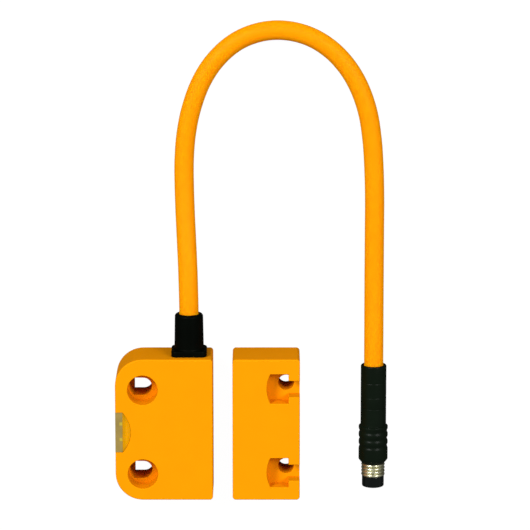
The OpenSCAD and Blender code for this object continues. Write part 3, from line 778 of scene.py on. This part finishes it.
GRIP_FOOT_L = 0.5
GRIP_PLAIN_L = 0.8
GROOVE_COUNT = 3
GROOVE_START = PLUG_SLEEVE_L + 1.5
GROOVE_PITCH = 1.9
GROOVE_W = 1.5
GROOVE_D = 0.2
CHAMFER_START = GRIP_END - 1.0
CHAMFER_W = 0.8
CHAMFER_BACK_R = 0.3
CHAMFER_FRONT_R = 0.1
GRIP_SMOOTH_START = GRIP_END - 2.5
STEM_R = 2.35
STEM_GAP = 0.05
STEM_START = GRIP_END - 3.0
RING_R = 2.95
RING_PITCH = 0.85
RING_COUNT = 4
RING_END = GRIP_END + RING_PITCH * RING_COUNT
RIDGE_H = 0.32
RIDGE_W = 0.94 * RING_PITCH
RIDGE_BLUNTNESS = 0.8
NOSE_R = 2.75
NOSE_END = RING_END + 2.7
NOSE_FOOT_R = 0.05
NOSE_RIM_R = 0.3
NOSE_WALL = 0.6
NOSE_INNER_R = 0.1
NOSE_FLOOR = NOSE_END - 2.2
PIN_NAMES = [f"contact_pin_{i}" for i in (1, 2, 3, 4)]
PIN_CIRCLE_R = 1.15
PIN_HOLE_R = 0.42


def plug_turned(name, profile, closed=True):
    """A turned piece of the plug."""
    return revolve(name, profile, PLUG_TURN, PLUG_SHIFT, steps=128, closed=closed)


def groove(radius, z, width, depth, steps=8):
    """Points of a smooth shallow groove in a profile."""
    shares = [s / steps for s in range(steps + 1)]
    return [Vector((radius - depth * math.sin(math.pi * t) ** 2, z + width * (t - 0.5))) for t in shares]


def ridge(middle, steps=12):
    """Points of one blunt ridge of the ring."""
    shares = [s / steps for s in range(steps + 1)]
    foot_r = RING_R - RIDGE_H
    return [
        Vector((foot_r + RIDGE_H * math.sin(math.pi * t) ** RIDGE_BLUNTNESS, middle + RIDGE_W * (t - 0.5)))
        for t in shares
    ]


def make_plug_body():
    """The plug's sleeve with its fine grooves and its grip, hollow for the cable and the insert's stem."""
    profile = [Vector((CABLE_BORE_R, CABLE_DEPTH)), Vector((CABLE_BORE_R, PLUG_MOUTH_H))]
    profile += rounded([
        (CABLE_BORE_R, PLUG_MOUTH_H, 0),
        (CABLE_BORE_R + PLUG_MOUTH_W, 0, PLUG_MOUTH_R),
        (PLUG_SLEEVE_R, 0, PLUG_BACK_R),
        (PLUG_SLEEVE_R, PLUG_BACK_L, 0),
    ], closed=False)[1:]
    for z, depth in FINE_GROOVES:
        profile += groove(PLUG_SLEEVE_R, z, FINE_GROOVE_W, depth)
    profile += rounded([
        (PLUG_SLEEVE_R, PLUG_SLEEVE_L - GRIP_FOOT_L, 0),
        (PLUG_SLEEVE_R, PLUG_SLEEVE_L, GRIP_FOOT_R),
        (GRIP_R, PLUG_SLEEVE_L + GRIP_STEP_H, GRIP_STEP_R),
        (GRIP_R, PLUG_SLEEVE_L + GRIP_PLAIN_L, 0),
    ], closed=False)
    for i in range(GROOVE_COUNT):
        profile += groove(GRIP_R, GROOVE_START + i * GROOVE_PITCH, GROOVE_W, GROOVE_D, steps=12)
    profile += rounded([
        (GRIP_R, GRIP_SMOOTH_START, 0),
        (GRIP_R, CHAMFER_START, CHAMFER_BACK_R),
        (GRIP_R - CHAMFER_W, GRIP_END, CHAMFER_FRONT_R),
        (STEM_R, GRIP_END, 0),
        (STEM_R, STEM_START, 0),
        (0, STEM_START, 0),
    ], closed=False)
    profile.append(Vector((0, CABLE_DEPTH)))
    body = plug_turned("plug_cover", profile)
    tidy(body, 40)
    dress(body, plug_rubber, "black_rubber", "plug_body")
    return body


def make_plug_ring():
    """The ridged metal ring between the grip and the insert."""
    foot_r = RING_R - RIDGE_H
    profile = [Vector((STEM_R, RING_END)), Vector((STEM_R, GRIP_END)), Vector((foot_r, GRIP_END))]
    for i in range(RING_COUNT):
        profile += ridge(GRIP_END + RING_PITCH * (i + 0.5))
    profile.append(Vector((foot_r, RING_END)))
    ring = plug_turned("plug_collar", profile)
    tidy(ring, 50)
    dress(ring, ring_metal, "ring_metal", "plug_ring")
    return ring


def make_plug_insert():
    """The black insert: a stem in the plug's body, a hollow nose and holes for the contact pins."""
    stem_r = STEM_R - STEM_GAP
    inner_r = NOSE_R - NOSE_WALL
    profile = rounded([
        (0, STEM_START, 0),
        (stem_r, STEM_START, 0),
        (stem_r, RING_END, 0),
        (NOSE_R, RING_END, NOSE_FOOT_R),
        (NOSE_R, NOSE_END, NOSE_RIM_R),
        (inner_r, NOSE_END, NOSE_INNER_R),
        (inner_r, NOSE_FLOOR, NOSE_INNER_R),
        (0, NOSE_FLOOR, 0),
    ], closed=False)
    insert = plug_turned("plug_nose", profile, closed=False)
    for i in range(len(PIN_NAMES)):
        angle = math.radians(45 + 90 * i)
        out = PIN_CIRCLE_R * Vector((math.cos(angle), math.sin(angle), 0))
        combine(insert, cylinder(
            "cutter", PIN_HOLE_R, STEM_START - PAST, NOSE_END, PLUG_TURN, PLUG_SHIFT + PLUG_TURN @ out,
            steps=24))
    tidy(insert)
    dress(insert, insert_black, "insert_plastic", "plug_insert")
    return insert


gland = make_gland()
plug_pieces = [make_plug_body(), make_plug_ring(), make_plug_insert()]
dress(cable, sheath, "cable_jacket", "cable")
route_length(CABLE_ROUTE) * MM
make_sensor_housing()
make_actuator_housing()
make_window()

repaint(resin_black, "sensor_resin", "actuator_resin")
repaint(board_green, "circuit_board")
repaint(lamp_clear, "lamp_upper", "lamp_lower")
repaint(glass, "reed_glass_upper", "reed_glass_lower", "reed_glass_inner")
repaint(blade_metal, *[f"reed_blade_{a}_{b}" for a in ("upper", "lower", "inner") for b in ("a", "b")])
repaint(chip_black, "resistor_1", "resistor_2", "resistor_3")
repaint(contact_gold, *PIN_NAMES)
repaint(carrier_grey, "magnet_plate")
repaint(magnet_grey, "magnet_upper", "magnet_middle", "magnet_lower")
for name, (colour, shade) in wire_colours.items():
    insulation = plastic(f"wire_{name}", colour, shade, 0.4, grain=0.2, depth=0.003)
    repaint(insulation, f"lead_{name}", f"core_{name}")


# Floor and light, in metres
FLOOR_HALF = 1.2
BOUNCE_DROP = 0.0001
LIGHT_AIM = Vector((0.02, 0.03, 0))
LIGHT_REACH = 1.6
LIGHT_SIDE = 0.5


def floor_square(name, drop):
    """A large square a drop below the object, with its shader."""
    mesh = bpy.data.meshes.new(name)
    corners = rectangle(-FLOOR_HALF, -FLOOR_HALF, FLOOR_HALF, FLOOR_HALF)
    mesh.from_pydata([(p.x, p.y, -drop) for p in corners], [], [(0, 1, 2, 3)])
    floor = bpy.data.objects.new(name, mesh)
    bpy.context.scene.collection.objects.link(floor)
    material, _, shader = new_material(name)
    shader.inputs["Roughness"].default_value = 1
    shader.inputs["Specular IOR Level"].default_value = 0
    floor.data.materials.append(material)
    return floor, shader


def make_floor():
    """A white floor that the camera sees lit from within, over a plain one that bounces light."""
    seen, shader = floor_square("floor", 0)
    shader.inputs["Base Color"].default_value = (0.04, 0.04, 0.04, 1)
    shader.inputs["Emission Color"].default_value = (1, 1, 1, 1)
    shader.inputs["Emission Strength"].default_value = 0.985
    seen.visible_diffuse = False
    seen.visible_glossy = False
    hidden, shader = floor_square("bounce_floor", BOUNCE_DROP)
    shader.inputs["Base Color"].default_value = (0.25, 0.25, 0.24, 1)
    hidden.visible_camera = False


def area_light(name, way, power):
    """A square lamp that shines on the object from the direction way."""
    reach = Vector(way).normalized() * LIGHT_REACH
    data = bpy.data.lights.new(name, "AREA")
    data.shape = "SQUARE"
    data.size = LIGHT_SIDE
    data.energy = power
    light = bpy.data.objects.new(name, data)
    light.location = LIGHT_AIM + reach
    light.rotation_euler = reach.to_track_quat("Z", "Y").to_euler()
    bpy.context.scene.collection.objects.link(light)


def make_light():
    """A bright studio: light from all round, a key lamp at the left and a weaker one at the right."""
    world = bpy.data.worlds.new("studio")
    world.use_nodes = True
    sky = world.node_tree.nodes["Background"]
    sky.inputs["Color"].default_value = (0.98, 1, 0.97, 1)
    sky.inputs["Strength"].default_value = 0.4
    bpy.context.scene.world = world
    area_light("key", (-0.7, 0.65, 1.0), 21.2)
    area_light("side", (0.7, 0.45, 1.0), 14.3)


make_floor()
make_light()
bpy.context.scene.view_settings.view_transform = "Standard"
